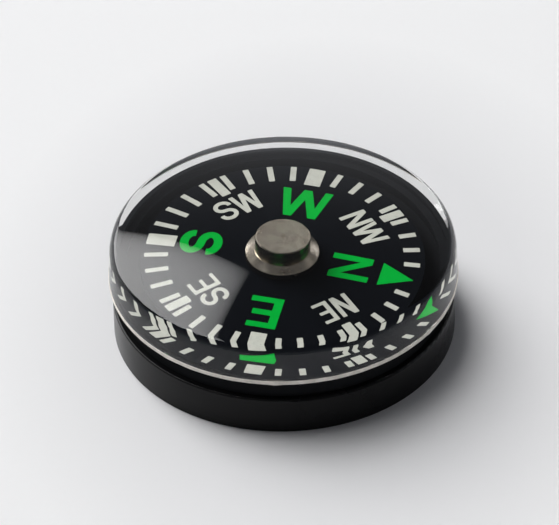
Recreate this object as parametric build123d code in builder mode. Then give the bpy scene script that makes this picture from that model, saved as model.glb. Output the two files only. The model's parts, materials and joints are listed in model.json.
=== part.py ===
from build123d import *

import os
from math import cos, radians, sin, sqrt, tan

# Liquid-filled button compass, 20 mm across. Millimetres, +Z up.
# The origin is the centre of the bottom face, on the axis of the case.
# A printed card hangs on a needle point inside a clear capsule full of oil.

os.makedirs("parts", exist_ok=True)

# Driving dimensions of the case.
FLANGE_R = 10.0  # outside of the capsule, its widest point
FLANGE_Z = 3.63  # underside of the capsule's flange
FLANGE_THICKNESS = 0.24
WALL_FOOT_R = 9.97  # capsule wall where it leaves the flange
SHOULDER_R = 9.86  # corner where the wall would meet the dome
SHOULDER_Z = 5.93
SHOULDER_FILLET = 0.7
DOME_RISE = 1.26  # height of the dome above the shoulder corner
DOME_THICKNESS = 1.15
CHAMBER_R = 8.6  # bore of the liquid chamber
INNER_FILLET = 0.5

BASE_R = 9.8
BASE_HEIGHT = 2.3
BASE_FLOOR = 0.7
BASE_BORE_R = 9.0
NECK_R = 9.4  # dark recess between the base and the flange
NECK_BORE_R = 9.1
FOOT_BORE_R = 8.4  # shallow relief under the base leaves a rim to rest on
FOOT_RELIEF = 0.15

SKIRT_R = 9.08  # capsule spigot inside the neck
SKIRT_Z = 2.9
GASKET_THICKNESS = 0.2
SEAT_Z = SKIRT_Z - GASKET_THICKNESS
TRAY_R = 8.95  # chamber floor inside the base
TRAY_Z = 0.85
FLOOR_Z = 1.45  # wetted face of the chamber floor
BOND_INNER_R = 6.8
EDGE_BREAK = 0.12
FOOT_EDGE_BREAK = 0.05

# Needle bearing. Heights of the moving pieces are counted from the pin's tip.
TIP_Z = 4.7
TIP_R = 0.05
PIN_R = 0.3
PIN_FOOT_Z = 1.0
CONE_HALF_ANGLE = 20.0
BOSS_R = 1.0
BOSS_Z = 1.6
BUSH_R = 0.55
PLUG_R = 0.6
PLUG_AT = (-5.5, 3.2)

JEWEL_R = 0.5
JEWEL_LOW = -0.4
JEWEL_HIGH = 0.25
CUP_R = 0.42
CUP_DEPTH = 0.42  # the cup's bottom clears the pin's tip by a hair
SLEEVE_R = 0.75
SLEEVE_BORE_R = 0.62
SLEEVE_LOW = -0.65
SLEEVE_HIGH = 0.33

# Card and hub, in the card's own frame.
NORTH_ANGLE = -14.2  # where the card's north end points, from +X
REST_DIP = 1.8  # north end hangs this much low, drawn down by the earth's field
CARD_R = 7.8
CARD_TOP = -1.75
CARD_THICKNESS = 0.25
HUB_BORE_R = 0.85
HUB_BORE_TOP = 0.46
SPIGOT_R = 1.2
SPIGOT_LOW = -2.85
HUB_FLANGE_R = 2.01
HUB_FLANGE_TOP = -1.18
CONE_TOP_R = 1.55
CONE_TOP = -0.8
KNOB_R = 1.53
KNOB_TOP = 0.71
KNOB_BEVEL = 0.07
CENTRE_MARK_R = 0.12
CENTRE_MARK_DEPTH = 0.09
MAGNET_R = 3.6
MAGNET_THICKNESS = 0.65
CLAMP_R = 1.8

# The liquid is drawn clear of the space that the tilting card sweeps.
WETTING_GAP = 0.02
SWEPT_R = 8.2
SWEPT_TOP = 4.3
HUB_SWEPT_R = 2.4
HUB_SWEPT_TOP = 5.66

dome_sphere_r = (SHOULDER_R**2 + DOME_RISE**2) / (2 * DOME_RISE)
dome_centre_z = SHOULDER_Z + DOME_RISE - dome_sphere_r
card_under = CARD_TOP - CARD_THICKNESS
magnet_under = card_under - MAGNET_THICKNESS

north = radians(NORTH_ANGLE)
dip = radians(REST_DIP)
card_x = (cos(dip) * cos(north), cos(dip) * sin(north), -sin(dip))
card_z = (sin(dip) * cos(north), sin(dip) * sin(north), cos(dip))
card_frame = Plane(origin=(0, 0, TIP_Z), x_dir=card_x, z_dir=card_z)
card_section = Plane(origin=(0, 0, TIP_Z), x_dir=card_x, z_dir=-card_frame.y_dir)
card_axis = Axis((0, 0, TIP_Z), card_z)
tip_section = Plane(origin=(0, 0, TIP_Z), x_dir=(1, 0, 0), z_dir=(0, -1, 0))


def dome_height(thickness, r):
    """Height of the dome at radius r, on the sphere this far inside the outer face."""
    return dome_centre_z + sqrt((dome_sphere_r - thickness) ** 2 - r**2)


def dome_arc(thickness, r):
    """Arc of that sphere from radius r up to the axis."""
    middle = (r / 2, dome_height(thickness, r / 2))
    return ThreePointArc((r, dome_height(thickness, r)), middle, (0, dome_height(thickness, 0)))


def finish(piece, name):
    piece.part.label = name
    export_step(piece.part, f"parts/{name}.step")


def ring_edges(piece, radius, height):
    """Circular edges of this radius at this height."""
    circles = piece.edges().filter_by(GeomType.CIRCLE)
    at_height = circles.filter_by_position(Axis.Z, height - 0.01, height + 0.01)
    return at_height.filter_by(lambda edge: abs(edge.radius - radius) < 0.01)


# Outer base: a shallow black cup that the sealed chamber is set into.
with BuildPart() as base_shell:
    with BuildSketch():
        Circle(BASE_R)
    extrude(amount=BASE_HEIGHT)
    with BuildSketch(Plane.XY.offset(BASE_FLOOR)):
        Circle(BASE_BORE_R)
    extrude(amount=BASE_HEIGHT, mode=Mode.SUBTRACT)
    with BuildSketch():
        Circle(FOOT_BORE_R)
    extrude(amount=FOOT_RELIEF, mode=Mode.SUBTRACT)
    fillet(ring_edges(base_shell, BASE_R, 0), FOOT_EDGE_BREAK)
    fillet(ring_edges(base_shell, BASE_R, BASE_HEIGHT), EDGE_BREAK)
finish(base_shell, "base_shell")

# Adhesive ring between the base and the chamber. The open middle lets the thin
# chamber floor bow as the oil warms and cools.
with BuildPart() as bonding_ring:
    with BuildSketch(Plane.XY.offset(BASE_FLOOR)):
        Circle(CHAMBER_R)
        Circle(BOND_INNER_R, mode=Mode.SUBTRACT)
    extrude(amount=TRAY_Z - BASE_FLOOR)
finish(bonding_ring, "bonding_ring")

# Chamber floor: black tray with the recessed neck, the capsule's seat and the boss.
with BuildPart() as chamber_floor:
    with BuildSketch(Plane.XZ):
        with BuildLine():
            Polyline(
                (0, TRAY_Z),
                (TRAY_R, TRAY_Z),
                (TRAY_R, BASE_HEIGHT),
                (NECK_R, BASE_HEIGHT),
                (NECK_R, FLANGE_Z),
                (NECK_BORE_R, FLANGE_Z),
                (NECK_BORE_R, SEAT_Z),
                (CHAMBER_R, SEAT_Z),
                (CHAMBER_R, FLOOR_Z),
                (BOSS_R, FLOOR_Z),
                (BOSS_R, BOSS_Z),
                (0, BOSS_Z),
                close=True,
            )
        make_face()
    revolve(axis=Axis.Z)
    with BuildSketch(Plane.XY.offset(PIN_FOOT_Z)):
        Circle(BUSH_R)
    extrude(amount=BOSS_Z - PIN_FOOT_Z, mode=Mode.SUBTRACT)
    with BuildSketch(Plane.XY.offset(TRAY_Z)):
        with Locations(PLUG_AT):
            Circle(PLUG_R)
    extrude(amount=FLOOR_Z - TRAY_Z, mode=Mode.SUBTRACT)
finish(chamber_floor, "chamber_floor")

# Stopper in the hole through which the chamber is filled.
with BuildPart() as fill_plug:
    with BuildSketch(Plane.XY.offset(TRAY_Z)):
        with Locations(PLUG_AT):
            Circle(PLUG_R)
    extrude(amount=FLOOR_Z - TRAY_Z)
finish(fill_plug, "fill_plug")

# Flat gasket under the capsule's spigot.
with BuildPart() as capsule_gasket:
    with BuildSketch(Plane.XY.offset(SEAT_Z)):
        Circle(SKIRT_R)
        Circle(CHAMBER_R, mode=Mode.SUBTRACT)
    extrude(amount=GASKET_THICKNESS)
finish(capsule_gasket, "capsule_gasket")

# Clear capsule: domed window, wall, thin flange and spigot in one moulding.
with BuildPart() as clear_capsule:
    with BuildSketch(Plane.XZ):
        with BuildLine():
            outer_dome = dome_arc(0, SHOULDER_R)
            inner_dome = dome_arc(DOME_THICKNESS, CHAMBER_R)
            Line(outer_dome @ 1, inner_dome @ 1)
            Polyline(
                inner_dome @ 0,
                (CHAMBER_R, SKIRT_Z),
                (SKIRT_R, SKIRT_Z),
                (SKIRT_R, FLANGE_Z),
                (FLANGE_R, FLANGE_Z),
                (FLANGE_R, FLANGE_Z + FLANGE_THICKNESS),
                (WALL_FOOT_R, FLANGE_Z + FLANGE_THICKNESS),
                outer_dome @ 0,
            )
        make_face()
    revolve(axis=Axis.Z)
    fillet(ring_edges(clear_capsule, SHOULDER_R, SHOULDER_Z), SHOULDER_FILLET)
    fillet(
        ring_edges(clear_capsule, CHAMBER_R, dome_height(DOME_THICKNESS, CHAMBER_R)),
        INNER_FILLET,
    )
finish(clear_capsule, "clear_capsule")

# Damping oil, less the space that the card sweeps as it turns and tilts.
with BuildPart() as damping_liquid:
    with BuildSketch(Plane.XZ):
        with BuildLine():
            liquid_dome = dome_arc(DOME_THICKNESS + WETTING_GAP, CHAMBER_R - WETTING_GAP)
            Polyline(
                liquid_dome @ 1,
                (0, HUB_SWEPT_TOP),
                (HUB_SWEPT_R, HUB_SWEPT_TOP),
                (HUB_SWEPT_R, SWEPT_TOP),
                (SWEPT_R, SWEPT_TOP),
                (SWEPT_R, FLOOR_Z + WETTING_GAP),
                (CHAMBER_R - WETTING_GAP, FLOOR_Z + WETTING_GAP),
                liquid_dome @ 0,
            )
        make_face()
    revolve(axis=Axis.Z)
    fillet(
        ring_edges(damping_liquid, CHAMBER_R - WETTING_GAP, (liquid_dome @ 0).Y),
        INNER_FILLET,
    )
finish(damping_liquid, "damping_liquid")

# Brass bush that holds the pin in the boss.
with BuildPart() as pivot_bush:
    with BuildSketch(Plane.XY.offset(PIN_FOOT_Z)):
        Circle(BUSH_R)
        Circle(PIN_R, mode=Mode.SUBTRACT)
    extrude(amount=BOSS_Z - PIN_FOOT_Z)
finish(pivot_bush, "pivot_bush")

# Hardened pin with a rounded needle point.
point_height = TIP_Z - TIP_R
cone_touch_r = TIP_R * cos(radians(CONE_HALF_ANGLE))
cone_touch_z = point_height + TIP_R * sin(radians(CONE_HALF_ANGLE))
cone_foot_z = cone_touch_z - (PIN_R - cone_touch_r) / tan(radians(CONE_HALF_ANGLE))
with BuildPart() as pivot_pin:
    with BuildSketch(Plane.XZ):
        with BuildLine():
            Polyline(
                (0, TIP_Z),
                (0, PIN_FOOT_Z),
                (PIN_R, PIN_FOOT_Z),
                (PIN_R, cone_foot_z),
                (cone_touch_r, cone_touch_z),
            )
            RadiusArc((cone_touch_r, cone_touch_z), (0, TIP_Z), -TIP_R)
        make_face()
    revolve(axis=Axis.Z)
finish(pivot_pin, "pivot_pin")

# Cup jewel that rests on the point.
with BuildPart() as bearing_jewel:
    with BuildSketch(tip_section):
        with BuildLine():
            Polyline(
                (0, JEWEL_LOW + CUP_DEPTH),
                (CUP_R, JEWEL_LOW),
                (JEWEL_R, JEWEL_LOW),
                (JEWEL_R, JEWEL_HIGH),
                (0, JEWEL_HIGH),
                close=True,
            )
        make_face()
    revolve(axis=Axis.Z)
finish(bearing_jewel, "bearing_jewel")

# Brass sleeve around the jewel.
with BuildPart() as jewel_sleeve:
    with BuildSketch(card_frame.offset(SLEEVE_LOW)):
        Circle(SLEEVE_R)
        Circle(SLEEVE_BORE_R, mode=Mode.SUBTRACT)
    extrude(amount=SLEEVE_HIGH - SLEEVE_LOW)
finish(jewel_sleeve, "jewel_sleeve")

# Knob over the bearing: blind bore, bevelled rim and a lathe centre mark.
with BuildPart() as hub_cap:
    with BuildSketch(card_section):
        with BuildLine():
            Polyline(
                (HUB_BORE_R, CONE_TOP),
                (KNOB_R, CONE_TOP),
                (KNOB_R, KNOB_TOP - KNOB_BEVEL),
                (KNOB_R - KNOB_BEVEL, KNOB_TOP),
                (CENTRE_MARK_R, KNOB_TOP),
                (0, KNOB_TOP - CENTRE_MARK_DEPTH),
                (0, HUB_BORE_TOP),
                (HUB_BORE_R, HUB_BORE_TOP),
                close=True,
            )
        make_face()
    revolve(axis=card_axis)
finish(hub_cap, "hub_cap")

# Conical flange with the spigot that carries the card and the magnet.
with BuildPart() as hub_flange:
    with BuildSketch(card_section):
        with BuildLine():
            Polyline(
                (HUB_BORE_R, SPIGOT_LOW),
                (SPIGOT_R, SPIGOT_LOW),
                (SPIGOT_R, CARD_TOP),
                (HUB_FLANGE_R, CARD_TOP),
                (HUB_FLANGE_R, HUB_FLANGE_TOP),
                (CONE_TOP_R, CONE_TOP),
                (HUB_BORE_R, CONE_TOP),
                close=True,
            )
        make_face()
    revolve(axis=card_axis)
finish(hub_flange, "hub_flange")

# Card: thin disc on the spigot, clamped under the flange.
with BuildPart() as compass_card:
    with BuildSketch(card_frame.offset(card_under)):
        Circle(CARD_R)
        Circle(SPIGOT_R, mode=Mode.SUBTRACT)
    extrude(amount=CARD_THICKNESS)
finish(compass_card, "compass_card")

# Ring magnet under the card, magnetised across its diameter.
with BuildPart() as magnet_ring:
    with BuildSketch(card_frame.offset(magnet_under)):
        Circle(MAGNET_R)
        Circle(SPIGOT_R, mode=Mode.SUBTRACT)
    extrude(amount=MAGNET_THICKNESS)
finish(magnet_ring, "magnet_ring")

# Washer swaged onto the spigot's end to hold the magnet and the card.
with BuildPart() as clamp_ring:
    with BuildSketch(card_frame.offset(SPIGOT_LOW)):
        Circle(CLAMP_R)
        Circle(SPIGOT_R, mode=Mode.SUBTRACT)
    extrude(amount=magnet_under - SPIGOT_LOW)
finish(clamp_ring, "clamp_ring")
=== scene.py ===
import json
import math

import bmesh
import bpy
from mathutils import Matrix, Vector


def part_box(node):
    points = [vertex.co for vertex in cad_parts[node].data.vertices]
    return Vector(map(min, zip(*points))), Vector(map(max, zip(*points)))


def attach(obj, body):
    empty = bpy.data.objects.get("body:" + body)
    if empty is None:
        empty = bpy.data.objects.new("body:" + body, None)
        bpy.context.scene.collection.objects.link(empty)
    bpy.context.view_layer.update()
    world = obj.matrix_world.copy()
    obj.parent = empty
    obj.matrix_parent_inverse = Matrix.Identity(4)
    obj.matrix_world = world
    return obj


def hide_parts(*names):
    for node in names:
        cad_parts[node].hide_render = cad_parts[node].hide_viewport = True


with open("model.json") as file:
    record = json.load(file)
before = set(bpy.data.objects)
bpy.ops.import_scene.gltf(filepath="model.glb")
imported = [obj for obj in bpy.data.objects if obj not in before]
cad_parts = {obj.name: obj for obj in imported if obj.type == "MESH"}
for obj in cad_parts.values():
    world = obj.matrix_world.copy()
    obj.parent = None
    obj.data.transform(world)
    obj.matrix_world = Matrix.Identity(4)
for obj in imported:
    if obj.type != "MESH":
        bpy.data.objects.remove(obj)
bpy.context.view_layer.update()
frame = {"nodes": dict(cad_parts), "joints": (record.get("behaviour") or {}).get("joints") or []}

# A liquid-filled button compass on a pale table. Lengths are in metres, and MM turns
# millimetres into them. The frame gives where the case, the card and the pivot are.
MM = 0.001
TAU = 2 * math.pi

nodes = frame["nodes"]
joint = {j["name"]: j for j in frame["joints"]}
tip = Vector(joint["card_heading"]["pos_m"])
card_x = Vector(joint["card_roll"]["axis"]).normalized()  # towards the card's north mark
card_y = -Vector(joint["card_dip"]["axis"]).normalized()
card_y = card_y if card_y.y > 0 else -card_y
card_z = card_x.cross(card_y).normalized()
card_axes = Matrix((card_x, card_y, card_z)).transposed()
card_to_world = Matrix.Translation(tip) @ card_axes.to_4x4()


# Mesh helpers.

def piece(name, mesh, body=None):
    """A scene object for this mesh, riding on a CAD body when one is named."""
    thing = bpy.data.objects.new(name, mesh)
    bpy.context.scene.collection.objects.link(thing)
    if body:
        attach(thing, body)
    return thing


def to_mesh(form, name):
    """A mesh from this bmesh, which is freed."""
    mesh = bpy.data.meshes.new(name)
    form.to_mesh(mesh)
    form.free()
    return mesh


def smooth(mesh, angle_deg=35):
    """Smooth shading, kept sharp where faces meet at more than this angle."""
    for face in mesh.polygons:
        face.use_smooth = True
    mesh.set_sharp_from_angle(angle=math.radians(angle_deg))


def arc(centre, radius, start, end, steps):
    """Points of an arc in the (r, z) plane, both ends included. Angles in radians."""
    turn = (end - start) / steps
    angles = [start + turn * i for i in range(steps + 1)]
    r, z = centre
    return [(r + radius * math.cos(a), z + radius * math.sin(a)) for a in angles]


def lathe(name, rows, segments, wobble=None):
    """Closed surface turned about Z from (r, z) points that start and end on the axis.

    wobble(row, angle) gives the change of (r, z) of a point, for worn or cut edges."""
    form = bmesh.new()
    rings = []
    for row, (r, z) in enumerate(rows):
        if r == 0:
            rings.append([form.verts.new((0, 0, z))])
            continue
        ring = []
        for i in range(segments):
            a = TAU * i / segments
            dr, dz = wobble(row, a) if wobble else (0.0, 0.0)
            x, y = (r + dr) * math.cos(a), (r + dr) * math.sin(a)
            ring.append(form.verts.new((x, y, z + dz)))
        rings.append(ring)
    for upper, lower in zip(rings, rings[1:]):
        for i in range(segments):
            k = (i + 1) % segments
            if len(upper) == 1:
                corners = (upper[0], lower[i], lower[k])
            elif len(lower) == 1:
                corners = (upper[i], lower[0], upper[k])
            else:
                corners = (upper[i], lower[i], lower[k], upper[k])
            form.faces.new(corners)
    bmesh.ops.recalc_face_normals(form, faces=form.faces)
    return to_mesh(form, name)


# Material helpers.

MIX_FACTOR, MIX_FIRST, MIX_SECOND, MIX_RESULT = 0, 6, 7, 2  # a Mix node's colour sockets
NOISE_LOW, NOISE_HIGH = 0.3, 0.7  # most of a noise texture lies between these


class Paint:
    """A new node material with short calls for its nodes and links."""

    def __init__(self, name):
        self.material = bpy.data.materials.new(name)
        self.material.use_nodes = True
        self.tree = self.material.node_tree
        self.tree.nodes.clear()
        self.output = self.node("ShaderNodeOutputMaterial")
        self.place = self.node("ShaderNodeTexCoord").outputs["Object"]

    def node(self, kind, inputs=None, **settings):
        made = self.tree.nodes.new(kind)
        for key, value in settings.items():
            setattr(made, key, value)
        for key, value in (inputs or {}).items():
            if isinstance(value, bpy.types.NodeSocket):
                self.tree.links.new(value, made.inputs[key])
            else:
                made.inputs[key].default_value = value
        return made

    def noise(self, size, detail=4.0, roughness=0.55, place=None, **more):
        """Noise whose features are about this size, from 0 to 1 with a mean of a half."""
        inputs = {
            "Vector": place or self.place,
            "Scale": 1 / size,
            "Detail": detail,
            "Roughness": roughness,
        }
        inputs.update(more)
        return self.node("ShaderNodeTexNoise", inputs).outputs["Fac"]

    def span(self, value, low, high, new_low, new_high):
        """value between low and high mapped to new_low..new_high, clamped."""
        inputs = {
            "Value": value,
            "From Min": low,
            "From Max": high,
            "To Min": new_low,
            "To Max": new_high,
        }
        return self.node("ShaderNodeMapRange", inputs).outputs["Result"]

    def range_of(self, noise, new_low, new_high):
        """The usual range of a noise mapped to new_low..new_high, clamped."""
        return self.span(noise, NOISE_LOW, NOISE_HIGH, new_low, new_high)

    def blend(self, factor, first, second):
        """Colour mix of two RGBA colours or sockets."""
        inputs = {MIX_FACTOR: factor, MIX_FIRST: first, MIX_SECOND: second}
        return self.node("ShaderNodeMix", inputs, data_type="RGBA").outputs[MIX_RESULT]

    def sums(self, operation, first, second):
        """A Math node's result, for an operation such as ADD or MULTIPLY."""
        made = self.node("ShaderNodeMath", {0: first, 1: second}, operation=operation)
        return made.outputs[0]

    def bump(self, height, distance, strength, normal=None):
        """A normal bent by this height, on top of another bent normal when given."""
        inputs = {"Height": height, "Distance": distance, "Strength": strength}
        if normal is not None:
            inputs["Normal"] = normal
        return self.node("ShaderNodeBump", inputs).outputs["Normal"]

    def surface(self, **inputs):
        """A Principled shader; keys are its sockets with spaces as underscores."""
        named = {key.replace("_", " "): value for key, value in inputs.items()}
        return self.node("ShaderNodeBsdfPrincipled", named).outputs["BSDF"]

    def done(self, shader):
        """The finished material, with this shader as its surface."""
        self.tree.links.new(shader, self.output.inputs["Surface"])
        return self.material


def rgb(red, green, blue):
    """An opaque colour in linear light."""
    return (red, green, blue, 1.0)


# Materials.

def black_plastic():
    """Moulded black plastic: near-gloss, with a faint flow texture and rubbed patches."""
    p = Paint("black_plastic_looks")
    patches = p.noise(3.5 * MM, detail=3)
    grain = p.noise(0.09 * MM, detail=3)
    colour = p.blend(patches, rgb(0.0034, 0.0035, 0.0038), rgb(0.0056, 0.0057, 0.0062))
    rough = p.range_of(patches, 0.18, 0.30)
    normal = p.bump(grain, 0.0012 * MM, 0.6)
    shader = p.surface(
        Base_Color=colour, Roughness=rough, Normal=normal, IOR=1.5, Specular_IOR_Level=0.15
    )
    return p.done(shader)


def wetted_tray():
    """The black floor and wall under the oil, where nothing glints."""
    p = Paint("wetted_tray_looks")
    silt = p.noise(0.8 * MM, detail=5)
    colour = p.blend(silt, rgb(0.0085, 0.0090, 0.0100), rgb(0.0135, 0.0142, 0.0158))
    normal = p.bump(p.noise(0.06 * MM, detail=2), 0.001 * MM, 0.4)
    return p.done(
        p.surface(Base_Color=colour, Roughness=0.7, Specular_IOR_Level=0.0, Normal=normal)
    )


def card_enamel():
    """Matt black print on the dial, wetted by the oil, so it hardly reflects."""
    p = Paint("card_enamel_looks")
    cloud = p.noise(2.2 * MM, detail=4)
    grain = p.noise(0.05 * MM, detail=2)
    colour = p.blend(cloud, rgb(0.0032, 0.0040, 0.0056), rgb(0.0050, 0.0062, 0.0086))
    normal = p.bump(grain, 0.0004 * MM, 0.05)
    shader = p.surface(
        Base_Color=colour, Roughness=0.6, Specular_IOR_Level=0.0, Normal=normal
    )
    return p.done(shader)


def dial_paint(name, thin, full):
    """Screen-printed dial paint: slightly mottled, thinner in small specks."""
    p = Paint(name)
    mottle = p.noise(0.5 * MM, detail=5, roughness=0.6)
    specks = p.span(p.noise(0.11 * MM, detail=3), 0.24, 0.36, 0.3, 1.0)
    cover = p.sums("MULTIPLY", p.span(mottle, 0.3, 0.6, 0.8, 1.0), specks)
    colour = p.blend(cover, thin, full)
    normal = p.bump(p.noise(0.06 * MM, detail=3), 0.002 * MM, 0.5)
    shader = p.surface(
        Base_Color=colour, Roughness=0.55, Specular_IOR_Level=0.0, Normal=normal
    )
    return p.done(shader)


WAVE_FACTOR = 20  # a Wave texture multiplies its place by this


def turned_metal(name, dull, bright, roughness, ring_step, centre):
    """Lathe-turned metal: fine rings about centre, under clouds of dull tarnish.

    ring_step is the distance that turns the wave of the rings by one radian."""
    p = Paint(name)
    about = p.node("ShaderNodeMapping", {"Vector": p.place, "Location": -Vector(centre)})
    rings = p.node(
        "ShaderNodeTexWave",
        {
            "Vector": about.outputs["Vector"],
            "Scale": 1 / (WAVE_FACTOR * ring_step),
            "Distortion": 0.4,
            "Detail": 2.0,
        },
        wave_type="RINGS",
        rings_direction="Z",
    ).outputs["Fac"]
    cloud = p.noise(0.7 * MM, detail=5, roughness=0.6)
    fine = p.noise(0.05 * MM, detail=2)
    colour = p.blend(p.span(cloud, 0.36, 0.64, 0.0, 1.0), dull, bright)
    rough = p.sums(
        "ADD", p.range_of(cloud, roughness + 0.06, roughness - 0.04),
        p.span(rings, 0.0, 1.0, -0.006, 0.006),
    )
    normal = p.bump(rings, 0.0006 * MM, 0.02)
    normal = p.bump(fine, 0.0006 * MM, 0.02, normal)
    shader = p.surface(Base_Color=colour, Metallic=1.0, Roughness=rough, Normal=normal)
    return p.done(shader)


def ruby():
    """Synthetic ruby of the cup bearing."""
    p = Paint("jewel_looks")
    cloud = p.noise(0.4 * MM, detail=3)
    colour = p.blend(cloud, rgb(0.42, 0.012, 0.045), rgb(0.62, 0.03, 0.09))
    rough = p.range_of(cloud, 0.05, 0.12)
    return p.done(p.surface(Base_Color=colour, Roughness=rough, IOR=1.77))


def sintered_magnet():
    """Dark sintered ferrite with small pores."""
    p = Paint("magnet_looks")
    pores = p.node(
        "ShaderNodeTexVoronoi", {"Vector": p.place, "Scale": 1 / (0.12 * MM)}
    ).outputs["Distance"]
    cloud = p.noise(0.8 * MM, detail=5)
    colour = p.blend(cloud, rgb(0.03, 0.031, 0.034), rgb(0.062, 0.062, 0.066))
    normal = p.bump(p.span(pores, 0.1, 0.5, 0.0, 1.0), 0.004 * MM, 0.6)
    rough = p.range_of(cloud, 0.45, 0.62)
    return p.done(p.surface(Base_Color=colour, Roughness=rough, Normal=normal))


def soft_rubber():
    """Black nitrile rubber with a dusty bloom."""
    p = Paint("black_rubber_looks")
    bloom = p.noise(0.7 * MM, detail=5)
    colour = p.blend(bloom, rgb(0.008, 0.008, 0.009), rgb(0.02, 0.02, 0.021))
    normal = p.bump(p.noise(0.07 * MM, detail=3), 0.003 * MM, 0.5)
    rough = p.range_of(bloom, 0.62, 0.8)
    return p.done(p.surface(Base_Color=colour, Roughness=rough, Normal=normal))


def amber_adhesive():
    """Cured amber cement with small bubbles."""
    p = Paint("adhesive_looks")
    bubbles = p.node(
        "ShaderNodeTexVoronoi", {"Vector": p.place, "Scale": 1 / (0.25 * MM)}
    ).outputs["Distance"]
    cloud = p.noise(1.0 * MM, detail=3)
    colour = p.blend(cloud, rgb(0.32, 0.19, 0.06), rgb(0.5, 0.33, 0.12))
    normal = p.bump(p.span(bubbles, 0.0, 0.3, 0.0, 1.0), 0.006 * MM, 0.5)
    rough = p.range_of(cloud, 0.22, 0.34)
    return p.done(p.surface(Base_Color=colour, Roughness=rough, Normal=normal))


def let_lamps_through(p, shader):
    """Glass as seen, but open to shadow rays and to light scattered off what is inside."""
    path = p.node("ShaderNodeLightPath")
    clear = p.node("ShaderNodeBsdfTransparent", {"Color": rgb(0.93, 0.93, 0.93)})
    for test in ("Is Shadow Ray", "Is Diffuse Ray"):
        mixer = p.node("ShaderNodeMixShader", {"Fac": path.outputs[test]})
        p.tree.links.new(shader, mixer.inputs[1])
        p.tree.links.new(clear.outputs["BSDF"], mixer.inputs[2])
        shader = mixer.outputs["Shader"]
    return shader


ACRYLIC_IOR = 1.451  # one value for the moulding and the oil in it


def clear_acrylic():
    """Polished clear moulding, with hairlines too faint to bend what is behind them."""
    p = Paint("clear_acrylic_looks")
    stretch = {"Vector": p.place, "Scale": (1.0, 7.0, 1.0), "Rotation": (0, 0, 0.5)}
    streaks = p.node("ShaderNodeMapping", stretch).outputs["Vector"]
    scratch = p.span(p.noise(2.4 * MM, detail=1, place=streaks), 0.495, 0.505, 0.0, 1.0)
    normal = p.bump(scratch, 0.000002 * MM, 0.1)
    shader = p.surface(
        Base_Color=rgb(0.93, 0.93, 0.92),
        Roughness=0.0,
        IOR=ACRYLIC_IOR,
        Specular_Tint=rgb(0.85, 0.85, 0.86),
        Transmission_Weight=1.0,
        Normal=normal,
    )
    return p.done(let_lamps_through(p, shader))


def cut_acrylic_with_painted_glow():
    """Sawn edge of the clear flange: frosted and pale, its colour lifted further as painted glow
    for the light the acrylic carries to its edge, with fine tool marks.
    """
    p = Paint("clear_acrylic_cut_edge_painted_glow")
    patches = p.range_of(p.noise(0.5 * MM, detail=5), 0.0, 1.0)
    marks = p.noise(0.06 * MM, detail=4, roughness=0.7)
    # Painted glow: the pale edge colour is brighter than frosting alone, standing in for light
    # piped through the acrylic.
    colour = p.blend(patches, rgb(0.62, 0.59, 0.53), rgb(0.92, 0.86, 0.79))
    normal = p.bump(marks, 0.005 * MM, 0.4)
    rough = p.range_of(marks, 0.35, 0.55)
    return p.done(p.surface(Base_Color=colour, Roughness=rough, Normal=normal))


# The clear body: capsule and oil as one, because their refractive indices are alike and
# the wall between them does not show. It reaches a little into the black tray and the
# neck, so no film of air is left behind it.

capsule_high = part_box("clear_capsule")[1]
FLANGE_R = capsule_high.x
APEX_Z = capsule_high.z
DOME_RISE = 1.26 * MM
SHOULDER_R = 9.86 * MM  # corner where the wall would meet the dome
SHOULDER_Z = APEX_Z - DOME_RISE
DOME_SIDE_FILLET = 0.55 * MM  # the shoulder is rounder on its wall side
WALL_SIDE_FILLET = 1.16 * MM
FILLET_SPLIT = math.radians(25)
WALL_FOOT_R = 9.97 * MM
FLANGE_THICKNESS = 0.24 * MM
FLANGE_EDGE_BREAK = 0.012 * MM
FLANGE_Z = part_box("chamber_floor")[1].z  # its underside lies on the neck
FLANGE_TOP_Z = FLANGE_Z + FLANGE_THICKNESS
SUNK = 0.006 * MM  # the underside dips this far into the neck's top
NECK_MIDDLE_R = 9.25 * MM
STEP_Z = 2.5 * MM
TRAY_MIDDLE_R = 8.8 * MM
BODY_LOW_Z = 1.2 * MM  # inside the tray's floor

TURNS = 384
DOME_STEPS = 40
DOME_SIDE_STEPS = 14
WALL_SIDE_STEPS = 8
WALL_STEPS = 5
SMALLEST_STEP = 0.001 * MM

# The flange was cut from its sprue, so its outside is slightly uneven.
CUT_DEPTH = 0.005 * MM
CUT_WAVES = ((7, 0.3), (19, 1.9), (53, 4.0))  # waves round the edge, and phase
CUT_LIFT = 0.004 * MM
CUT_LIFT_WAVES, CUT_LIFT_PHASE = 31, 0.8
# Angle and half width in radians, and drop in millimetres.
CUT_BURRS = (
    (-1.63, 0.035, 0.05),
    (-1.07, 0.018, -0.05),
    (-2.3, 0.03, 0.03),
    (-0.62, 0.02, 0.035),
)


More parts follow.
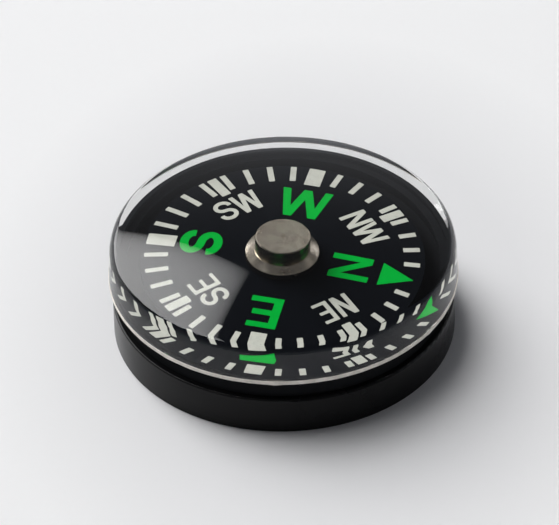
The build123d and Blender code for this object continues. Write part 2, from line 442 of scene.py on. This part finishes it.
def shoulder():
    """Rows of the dome and of the two arcs that round it into the wall."""
    sphere_r = (SHOULDER_R**2 + DOME_RISE**2) / (2 * DOME_RISE)
    sphere_centre = Vector((0, APEX_Z - sphere_r))
    foot = Vector((WALL_FOOT_R, FLANGE_TOP_Z))
    along = (Vector((SHOULDER_R, SHOULDER_Z)) - foot).normalized()
    inward = Vector((-along.y, along.x))
    wall_angle = math.atan2(-inward.y, -inward.x)
    split = Vector((math.cos(FILLET_SPLIT), math.sin(FILLET_SPLIT)))
    step = split * (DOME_SIDE_FILLET - WALL_SIDE_FILLET)
    reach = sphere_r - DOME_SIDE_FILLET
    short = WALL_SIDE_FILLET - (sphere_centre + step - foot).dot(inward)
    dome_angle = wall_angle + math.pi - math.acos(short / reach)
    upper = sphere_centre + Vector((math.cos(dome_angle), math.sin(dome_angle))) * reach
    lower = upper + step
    rows = arc(sphere_centre, sphere_r, math.pi / 2, dome_angle, DOME_STEPS)
    rows[0] = (0.0, APEX_Z)
    rows += arc(upper, DOME_SIDE_FILLET, dome_angle, FILLET_SPLIT, DOME_SIDE_STEPS)[1:]
    rows += arc(lower, WALL_SIDE_FILLET, FILLET_SPLIT, wall_angle, WALL_SIDE_STEPS)[1:]
    return rows


def clear_body_rows():
    """All rows of the clear body, and the indices of those on the flange's cut edge."""
    rows = shoulder()
    wall_top = Vector(rows[-1])
    foot = Vector((WALL_FOOT_R, FLANGE_TOP_Z))
    rows += [tuple(wall_top.lerp(foot, i / WALL_STEPS)) for i in range(1, WALL_STEPS + 1)]
    first_cut = len(rows)
    rows += [
        (FLANGE_R - FLANGE_EDGE_BREAK, FLANGE_TOP_Z),
        (FLANGE_R, FLANGE_TOP_Z - FLANGE_EDGE_BREAK),
        (FLANGE_R, FLANGE_TOP_Z - FLANGE_THICKNESS / 2),
        (FLANGE_R, FLANGE_Z),
        (FLANGE_R - 0.02 * MM, FLANGE_Z - SUNK),
        (NECK_MIDDLE_R, FLANGE_Z - SUNK),
        (NECK_MIDDLE_R, STEP_Z),
        (TRAY_MIDDLE_R, STEP_Z),
        (TRAY_MIDDLE_R, BODY_LOW_Z),
        (0.0, BODY_LOW_Z),
    ]
    return rows, range(first_cut, first_cut + 4)


def clear_body():
    """The capsule and its oil as one closed body, clear but for its cut edge."""
    rows, cut_rows = clear_body_rows()

    def cut_edge(row, angle):
        if row not in cut_rows:
            return 0.0, 0.0
        uneven = sum(math.sin(angle * count + phase) for count, phase in CUT_WAVES)
        dr = -CUT_DEPTH * (1 + uneven / len(CUT_WAVES))
        dz = CUT_LIFT * math.sin(angle * CUT_LIFT_WAVES + CUT_LIFT_PHASE)
        for at, width, drop in CUT_BURRS:
            near = math.exp(-(((angle - at + math.pi) % TAU - math.pi) / width) ** 2)
            dz -= near * drop * MM
        return dr, dz

    mesh = lathe("clear_body", rows, TURNS, cut_edge)
    smooth(mesh)
    mesh.materials.append(clear_acrylic())
    mesh.materials.append(cut_acrylic_with_painted_glow())
    for face in mesh.polygons:
        if math.hypot(face.center.x, face.center.y) > WALL_FOOT_R + SMALLEST_STEP:
            face.material_index = 1
    body = piece("clear_body", mesh, "case")
    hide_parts("clear_capsule", "damping_liquid")


# Dial marks: thin raised print on the card. Distances are from the print's centre, and
# the ring that trims the ticks is a little off that centre, as on a cheap dial.

CARD_TOP = -1.75 * MM  # card's upper face, counted from the pivot's tip
PRINT_RISE = 0.012 * MM
PRINT_ROOT = 0.004 * MM  # depth below the card's face, so no gap shows
PRINT_CENTRE = Vector((0.203 * MM, -0.003 * MM))  # in the card's own axes
RING_CENTRE = Vector((-0.058 * MM, 0.165 * MM))
RING_R = 7.56 * MM
THIN_TICK = (0.33 * MM, 6.44 * MM)  # width, inner end
CARDINAL_BLOCK = (0.9 * MM, 6.17 * MM)
DIAGONAL_TICK = (0.55 * MM, 6.15 * MM)
CORNER_ROUNDING = 0.05 * MM
LONGEST_CUT = 0.45  # most of a side that one rounded corner takes


def outward(bearing):
    """Unit vector in the card's plane towards a compass bearing in degrees."""
    a = math.radians(bearing)
    return Vector((math.cos(a), -math.sin(a)))


def clockwise(bearing):
    """Unit vector across a bearing, towards larger bearings."""
    a = math.radians(bearing)
    return Vector((-math.sin(a), -math.cos(a)))


def on_print(bearing, across, out):
    """Card-plane point this far across and out along a bearing."""
    return PRINT_CENTRE + clockwise(bearing) * across + outward(bearing) * out


def rounded(outline, radius, steps=4):
    """The outline with its corners rounded by small curves."""
    points = []
    count = len(outline)
    for i, corner in enumerate(outline):
        before = outline[i - 1] - corner
        after = outline[(i + 1) % count] - corner
        cut = min(radius, before.length * LONGEST_CUT, after.length * LONGEST_CUT)
        start = corner + before.normalized() * cut
        end = corner + after.normalized() * cut
        for k in range(steps + 1):
            t = k / steps
            points.append(start * (1 - t) ** 2 + corner * 2 * t * (1 - t) + end * t**2)
    return points


def print_piece(name, outlines, material):
    """Raised print of these card-plane outlines, as one piece on the card."""
    form = bmesh.new()
    for outline in outlines:
        low, high = (
            [form.verts.new(card_to_world @ Vector((q.x, q.y, z))) for q in outline]
            for z in (CARD_TOP - PRINT_ROOT, CARD_TOP + PRINT_RISE)
        )
        form.faces.new(high)
        form.faces.new(low[::-1])
        count = len(outline)
        for i in range(count):
            k = (i + 1) % count
            form.faces.new((low[i], low[k], high[k], high[i]))
    bmesh.ops.recalc_face_normals(form, faces=form.faces)
    bmesh.ops.triangulate(form, faces=[f for f in form.faces if len(f.verts) > 4])
    mesh = to_mesh(form, name)
    mesh.materials.append(material)
    piece(name, mesh, "card")


def ring_reach(bearing, across):
    """How far out the line at this offset from a bearing meets the trimming ring."""
    start = on_print(bearing, across, 0) - RING_CENTRE
    along = outward(bearing)
    half_b = start.dot(along)
    return -half_b + math.sqrt(half_b**2 - start.length_squared + RING_R**2)


def tick(bearing, width, inner):
    """Bar along a bearing from its inner end out to the trimming ring."""
    steps = 5
    sides = [width * (i / steps - 0.5) for i in range(steps + 1)]
    outline = [on_print(bearing, -width / 2, inner), on_print(bearing, width / 2, inner)]
    outline += [on_print(bearing, s, ring_reach(bearing, s)) for s in reversed(sides)]
    return rounded(outline, CORNER_ROUNDING, 3)


def letter_n(w, h, s):
    """N in a box w by h with stems s wide and a diagonal d wide."""
    d = 1.12 * s
    fall = h * (w - s - d) / (w - d)
    return [
        (0, 0), (0, h), (d, h), (w - s, h - fall), (w - s, h), (w, h),
        (w, 0), (w - d, 0), (s, fall), (s, 0),
    ]


def letter_e(w, h, s):
    """E in a box w by h with a stem s wide; its lowest arm is the longest."""
    arm = 0.82 * s
    middle = (h - arm) / 2
    top, short = 0.94 * w, 0.87 * w
    return [
        (0, 0), (0, h), (top, h), (top, h - arm), (s, h - arm), (s, middle + arm),
        (short, middle + arm), (short, middle), (s, middle), (s, arm), (w, arm), (w, 0),
    ]


def letter_w(w, h, s):
    """W with slanted strokes about s wide and a full-height middle point."""
    d = 1.06 * s
    foot = 0.26 * w
    inside = h * 0.36
    notch = h - (h - inside) * 0.99
    return [
        (0, h), (d, h), (foot, notch), (w / 2 - d / 2, h),
        (w / 2 + d / 2, h), (w - foot, notch), (w - d, h), (w, h),
        (w - foot + d / 2, 0), (w - foot - d / 2, 0), (w / 2, h - inside),
        (foot + d / 2, 0), (foot - d / 2, 0),
    ]


def letter_s(w, h, s):
    """S from two bowls, drawn as a stroke s wide along half ellipses."""
    a, b = (w - s) / 2, (h - s) / 4
    tail = 6  # degrees that each end runs past level
    sweep = 270 + tail
    steps = 16
    line = []
    for i in range(steps + 1):
        t = math.radians(-tail + sweep * i / steps)
        line.append(Vector((w / 2 + a * math.cos(t), h / 2 + b + b * math.sin(t))))
    for i in range(1, steps + 1):
        t = math.radians(90 - sweep * i / steps)
        line.append(Vector((w / 2 + a * math.cos(t), h / 2 - b + b * math.sin(t))))
    left, right = [], []
    for i, point in enumerate(line):
        ahead = line[min(i + 1, len(line) - 1)] - line[max(i - 1, 0)]
        side = Vector((-ahead.y, ahead.x)).normalized() * s / 2
        left.append(tuple(point + side))
        right.append(tuple(point - side))
    return left + right[::-1]


LETTERS = {"N": letter_n, "E": letter_e, "S": letter_s, "W": letter_w}

# Shape, bearing, left, right, inner end, outer end and stroke, in millimetres.
LARGE_LETTERS = (
    ("N", 0, -0.95, 0.95, 2.50, 4.72, 0.42),
    ("E", 90, -0.76, 1.01, 3.40, 5.75, 0.48),
    ("S", 180, -0.80, 1.09, 3.59, 5.96, 0.48),
    ("W", 270, -1.46, 1.36, 3.32, 5.69, 0.42),
)
# Name, bearing, (shape, left, right) of both letters, inner end and outer end.
SMALL_LETTERS = (
    ("NE", 45, (("N", -1.18, -0.17), ("E", 0.04, 0.95)), 4.08, 5.70),
    ("SE", 135, (("S", -1.17, -0.13), ("E", 0.01, 1.02)), 4.09, 5.75),
    ("SW", 225, (("S", -1.30, -0.21), ("W", -0.14, 1.39)), 4.17, 5.83),
    ("NW", 315, (("N", -1.21, -0.11), ("W", -0.08, 1.56)), 4.13, 5.73),
)
SMALL_STROKE = 0.26
# Across and out along north, in millimetres.
NORTH_ARROW = ((-0.88, 5.28), (0.03, 7.14), (0.94, 5.28))


def letter(shape, bearing, left, right, inner, outer, stroke):
    """A letter's outline placed on the dial, its top outwards."""
    outline = LETTERS[shape](right - left, outer - inner, stroke)
    placed = [on_print(bearing, (left + u) * MM, (inner + v) * MM) for u, v in outline]
    return rounded(placed, CORNER_ROUNDING)


def dial_marks():
    """All the print on the card."""
    cream = dial_paint("cream_print", rgb(0.32, 0.325, 0.28), rgb(0.69, 0.70, 0.625))
    green = dial_paint("green_print", rgb(0.0002, 0.28, 0.028), rgb(0.0002, 0.495, 0.049))

    thin = [b for b in range(10, 360, 10) if b % 90]
    print_piece("ticks_every_ten_degrees", [tick(b, *THIN_TICK) for b in thin], cream)
    for bearing, name in ((90, "east"), (180, "south"), (270, "west")):
        print_piece(f"block_{name}", [tick(bearing, *CARDINAL_BLOCK)], cream)
    for bearing in (45, 135, 225, 315):
        print_piece(f"tick_{bearing}", [tick(bearing, *DIAGONAL_TICK)], cream)

    for shape, bearing, *size in LARGE_LETTERS:
        print_piece(f"letter_{shape}", [letter(shape, bearing, *size)], green)
    for name, bearing, pair, inner, outer in SMALL_LETTERS:
        outlines = [
            letter(shape, bearing, left, right, inner, outer, SMALL_STROKE)
            for shape, left, right in pair
        ]
        print_piece(f"letters_{name}", outlines, cream)

    arrow = [on_print(0, across * MM, out * MM) for across, out in NORTH_ARROW]
    print_piece("north_arrow", [rounded(arrow, CORNER_ROUNDING)], green)


# Hub and inner pieces.

KNOB_TOP = 0.71 * MM  # counted from the pivot's tip
PIP_R = 0.055 * MM
PIP_RISE = 0.045 * MM
PIP_ROOT = 0.08 * MM  # depth into the centre mark
RING_STEP = 0.03 * MM  # of the turning marks
FINE_RING_STEP = 0.02 * MM


def centre_pip(material):
    """The small burr that the lathe centre left in the middle of the knob's top."""
    rows = [
        (0.0, PIP_RISE),
        (0.02 * MM, PIP_RISE * 0.93),
        (0.04 * MM, PIP_RISE * 0.62),
        (PIP_R, 0.0),
        (PIP_R, -PIP_ROOT),
        (0.0, -PIP_ROOT),
    ]
    mesh = lathe("centre_pip", rows, 20)
    smooth(mesh, 60)
    mesh.transform(card_to_world @ Matrix.Translation((0.0, 0.0, KNOB_TOP)))
    mesh.materials.append(material)
    pip = piece("centre_pip", mesh, "card")


def dress_cad_nodes():
    """Materials for every CAD node, and the pip in the same metal as the knob."""
    plastic = black_plastic()
    rubber = soft_rubber()
    wetted = wetted_tray()
    knob_top = card_to_world @ Vector((0, 0, KNOB_TOP))
    nickel = turned_metal(
        "nickel_looks",
        dull=rgb(0.33, 0.285, 0.230),
        bright=rgb(0.66, 0.595, 0.50),
        roughness=0.22,
        ring_step=RING_STEP,
        centre=knob_top,
    )
    brass = turned_metal(
        "brass_looks",
        dull=rgb(0.52, 0.36, 0.15),
        bright=rgb(0.76, 0.56, 0.26),
        roughness=0.28,
        ring_step=RING_STEP,
        centre=tip,
    )
    steel = turned_metal(
        "steel_looks",
        dull=rgb(0.42, 0.42, 0.43),
        bright=rgb(0.58, 0.58, 0.6),
        roughness=0.22,
        ring_step=FINE_RING_STEP,
        centre=tip,
    )
    looks = {
        "base_shell": plastic,
        "chamber_floor": wetted,
        "fill_plug": rubber,
        "capsule_gasket": wetted,
        "bonding_ring": amber_adhesive(),
        "pivot_bush": brass,
        "jewel_sleeve": brass,
        "clamp_ring": brass,
        "pivot_pin": steel,
        "bearing_jewel": ruby(),
        "hub_cap": nickel,
        "hub_flange": nickel,
        "compass_card": card_enamel(),
        "magnet_ring": sintered_magnet(),
    }
    replaced = amber_adhesive()  # for the capsule and the oil, which clear_body replaces
    for name, node in nodes.items():
        material = looks.get(name, replaced)
        for index in range(len(node.data.materials)):
            node.data.materials[index] = material
    centre_pip(nickel)


# Floor, light and camera.

FLOOR_HALF = 0.6
FLOOR_SQUARES = 24
# Painted shade: the paper is a little darker in an oval around the compass, standing in for the
# shade the compass casts on it.
SHADE_OVAL_CENTRE = Vector((2 * MM, 0.75 * MM, 0))  # in the squashed plane
SHADE_OVAL_SQUASH = Vector((1.0, 0.75, 1.0))
SHADE_OVAL_INNER, SHADE_OVAL_OUTER = 12 * MM, 20 * MM


def pale_floor():
    """A sheet of pale paper, with painted shade in an oval around the compass."""
    form = bmesh.new()
    squares = FLOOR_SQUARES
    bmesh.ops.create_grid(form, x_segments=squares, y_segments=squares, size=FLOOR_HALF)
    mesh = to_mesh(form, "floor")
    p = Paint("pale_paper")
    fibres = p.noise(0.4 * MM, detail=4)
    squashed = p.node(
        "ShaderNodeVectorMath", {0: p.place, 1: SHADE_OVAL_SQUASH}, operation="MULTIPLY"
    ).outputs["Vector"]
    away = p.node(
        "ShaderNodeVectorMath", {0: squashed, 1: SHADE_OVAL_CENTRE}, operation="DISTANCE"
    ).outputs["Value"]
    # Painted shade: the paper is darker towards the compass.
    painted_shade = p.span(away, SHADE_OVAL_INNER, SHADE_OVAL_OUTER, 0.0, 1.0)
    sheet = p.blend(painted_shade, rgb(0.765, 0.765, 0.775), rgb(0.88, 0.88, 0.883))
    colour = p.blend(p.range_of(fibres, 0.0, 0.03), sheet, rgb(0.7, 0.7, 0.7))
    shader = p.surface(Base_Color=colour, Roughness=0.7, Specular_IOR_Level=0.2)
    mesh.materials.append(p.done(shader))
    piece("floor", mesh)


SOFTBOX_AZIMUTH = -40.0  # from +Y towards +X
SOFTBOX_ELEVATION = 48.0
SOFTBOX_DISTANCE = 1.2
# Corners across and up the panel's plane, as shares of its distance.
SOFTBOX_CORNERS = ((0.376, 0.139), (0.249, -0.673), (-0.36, -0.673), (-0.42, 0.704))
SOFTBOX_GLOW = 7.05
SOFTBOX_SOFT_EDGE = 0.03  # the cloth dims towards its two near edges
SOFTBOX_EDGE_GAIN = 1.14  # brings the cloth back to full glow away from them
SOFTBOX_STEPS = 30


def distance_to(spot, start, end):
    """Distance in the plane from a point to the line through start and end."""
    along = (end - start).normalized()
    return abs(along.cross(spot - start))


def softbox():
    """A large glowing panel, back left and above, dimmer towards its near edges."""
    a = math.radians(SOFTBOX_AZIMUTH)
    e = math.radians(SOFTBOX_ELEVATION)
    towards = Vector((math.sin(a) * math.cos(e), math.cos(a) * math.cos(e), math.sin(e)))
    right = towards.cross(Vector((0, 0, 1))).normalized()
    up = right.cross(towards)
    corner, low, far_low, far_high = [Vector(c) for c in SOFTBOX_CORNERS]
    edges = ((corner, low), (corner, far_high))
    steps = SOFTBOX_STEPS
    places = [(i / steps) ** 2 for i in range(steps + 1)]  # closer together near the corner
    form = bmesh.new()
    glow = form.verts.layers.float.new("glow")
    grid = []
    for away in places:
        row = []
        for down in places:
            spot = corner.lerp(low, down).lerp(far_high.lerp(far_low, down), away)
            share = 1.0
            for edge in edges:
                inset = distance_to(spot, *edge)
                share *= min(1.0, SOFTBOX_EDGE_GAIN * inset / (inset + SOFTBOX_SOFT_EDGE))
            at = (towards + right * spot.x + up * spot.y) * SOFTBOX_DISTANCE
            vert = form.verts.new(at)
            vert[glow] = SOFTBOX_GLOW * share
            row.append(vert)
        grid.append(row)
    for i in range(steps):
        for k in range(steps):
            form.faces.new((grid[i][k], grid[i + 1][k], grid[i + 1][k + 1], grid[i][k + 1]))
    mesh = to_mesh(form, "softbox")
    p = Paint("softbox_cloth")
    strength = p.node("ShaderNodeAttribute", attribute_name="glow").outputs["Fac"]
    light = p.node("ShaderNodeEmission", {"Strength": strength}).outputs["Emission"]
    mesh.materials.append(p.done(light))
    piece("softbox", mesh)


# Height of a direction above the horizon, from 0 to 1 overhead, and the room's light there.
ROOM_LEVELS = (
    (0.0, 1.1), (0.18, 1.2), (0.235, 0.85), (0.28, 0.46), (0.42, 0.33),
    (0.5, 0.25), (0.6, 0.18), (0.72, 0.12), (1.0, 0.10),
)
ROOM_TINT = (0.96, 0.98, 1.04)
# The room is dimmer in front, where the photographer stands, than behind the compass.
# Y of a direction, and the share of the room's light there.
ROOM_FRONT, ROOM_FRONT_SHARE = -0.8, 0.30
ROOM_BACK, ROOM_BACK_SHARE = 0.5, 0.87


def dim_room():
    """Pale studio walls low round the horizon, dark above."""
    world = bpy.data.worlds.new("dim_room")
    bpy.context.scene.world = world
    world.use_nodes = True
    tree = world.node_tree
    tree.nodes.clear()
    place = tree.nodes.new("ShaderNodeTexCoord")
    split = tree.nodes.new("ShaderNodeSeparateXYZ")
    ramp = tree.nodes.new("ShaderNodeValToRGB")
    sky = tree.nodes.new("ShaderNodeBackground")
    output = tree.nodes.new("ShaderNodeOutputWorld")
    elements = ramp.color_ramp.elements
    while len(elements) < len(ROOM_LEVELS):
        elements.new(0.5)
    for element, (at, level) in zip(elements, ROOM_LEVELS):
        element.position = at
        element.color = rgb(*(level * share for share in ROOM_TINT))
    tree.links.new(place.outputs["Generated"], split.inputs[0])
    tree.links.new(split.outputs["Z"], ramp.inputs["Fac"])
    tree.links.new(ramp.outputs["Color"], sky.inputs["Color"])
    front_dim = tree.nodes.new("ShaderNodeMapRange")
    front_dim.inputs["From Min"].default_value = ROOM_FRONT
    front_dim.inputs["From Max"].default_value = ROOM_BACK
    front_dim.inputs["To Min"].default_value = ROOM_FRONT_SHARE
    front_dim.inputs["To Max"].default_value = ROOM_BACK_SHARE
    tree.links.new(split.outputs["Y"], front_dim.inputs["Value"])
    tree.links.new(front_dim.outputs["Result"], sky.inputs["Strength"])
    tree.links.new(sky.outputs["Background"], output.inputs["Surface"])


CAMERA_DISTANCE = 0.3
CAMERA_ELEVATION = 39.65  # degrees
CAMERA_ROLL = -1.32
CAMERA_LENS = 335.6  # millimetres, as is the sensor
SENSOR_WIDTH = 36.0
CLIP_START, CLIP_END = 0.01, 10.0
AIM = Vector((-0.21 * MM, 0.0, 4.30 * MM))


def camera():
    """The view of the photograph."""
    e = math.radians(CAMERA_ELEVATION)
    roll = math.radians(CAMERA_ROLL)
    eye = Vector((0, -math.cos(e), math.sin(e))) * CAMERA_DISTANCE
    back = (eye - AIM).normalized()
    level = Vector((0, 0, 1)).cross(back).normalized()
    rise = back.cross(level)
    right = level * math.cos(roll) + rise * math.sin(roll)
    up = back.cross(right)
    data = bpy.data.cameras.new("camera")
    data.lens = CAMERA_LENS
    data.sensor_width = SENSOR_WIDTH
    data.clip_start = CLIP_START
    data.clip_end = CLIP_END
    thing = bpy.data.objects.new("camera", data)
    bpy.context.scene.collection.objects.link(thing)
    turn = Matrix((right, up, back)).transposed().to_4x4()
    thing.matrix_world = Matrix.Translation(eye) @ turn
    bpy.context.scene.camera = thing


bpy.context.scene.view_settings.view_transform = "Standard"

dress_cad_nodes()
clear_body()
dial_marks()
pale_floor()
softbox()
dim_room()
camera()
